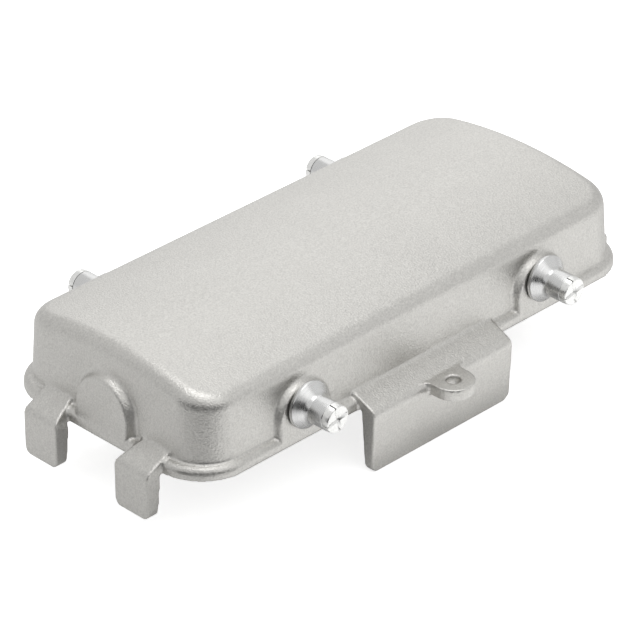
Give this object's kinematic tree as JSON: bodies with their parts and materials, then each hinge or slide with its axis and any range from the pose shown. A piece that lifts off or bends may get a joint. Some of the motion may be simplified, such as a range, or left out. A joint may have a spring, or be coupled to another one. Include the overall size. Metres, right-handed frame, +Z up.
{
  "type": "connector protective cover",
  "caption": "Cast cover that closes a rectangular industrial connector housing: crowned hood on a flat rim, locking pegs with turning sleeves, guide plates, end hooks and a cord eye.",
  "frame": {"origin": "middle of the sealing face under the rim", "axes": "+X along the hood, +Y across it away from the cord eye, +Z up through the crown"},
  "size_m": [0.0992, 0.0576, 0.0245],
  "materials": {
    "cast_aluminium": "blasted die casting",
    "sleeve_steel": "bright turned stainless steel"
  },
  "bodies": {
    "cover": {"cover_body": "cast_aluminium"},
    "sleeve_front_left": {"peg_sleeve_front_left": "sleeve_steel"},
    "sleeve_front_right": {"peg_sleeve_front_right": "sleeve_steel"},
    "sleeve_rear_left": {"peg_sleeve_rear_left": "sleeve_steel"},
    "sleeve_rear_right": {"peg_sleeve_rear_right": "sleeve_steel"}
  },
  "joints": [
    {"name": "roll_front_left", "type": "hinge", "parent": "cover", "child": "sleeve_front_left", "pos_m": [-0.0254, -0.0249, 0.0059], "axis": [0, -1, 0], "continuous": true},
    {"name": "roll_front_right", "type": "hinge", "parent": "cover", "child": "sleeve_front_right", "pos_m": [0.0254, -0.0249, 0.0059], "axis": [0, -1, 0], "continuous": true},
    {"name": "roll_rear_left", "type": "hinge", "parent": "cover", "child": "sleeve_rear_left", "pos_m": [-0.0254, 0.0249, 0.0059], "axis": [0, 1, 0], "continuous": true},
    {"name": "roll_rear_right", "type": "hinge", "parent": "cover", "child": "sleeve_rear_right", "pos_m": [0.0254, 0.0249, 0.0059], "axis": [0, 1, 0], "continuous": true}
  ]
}
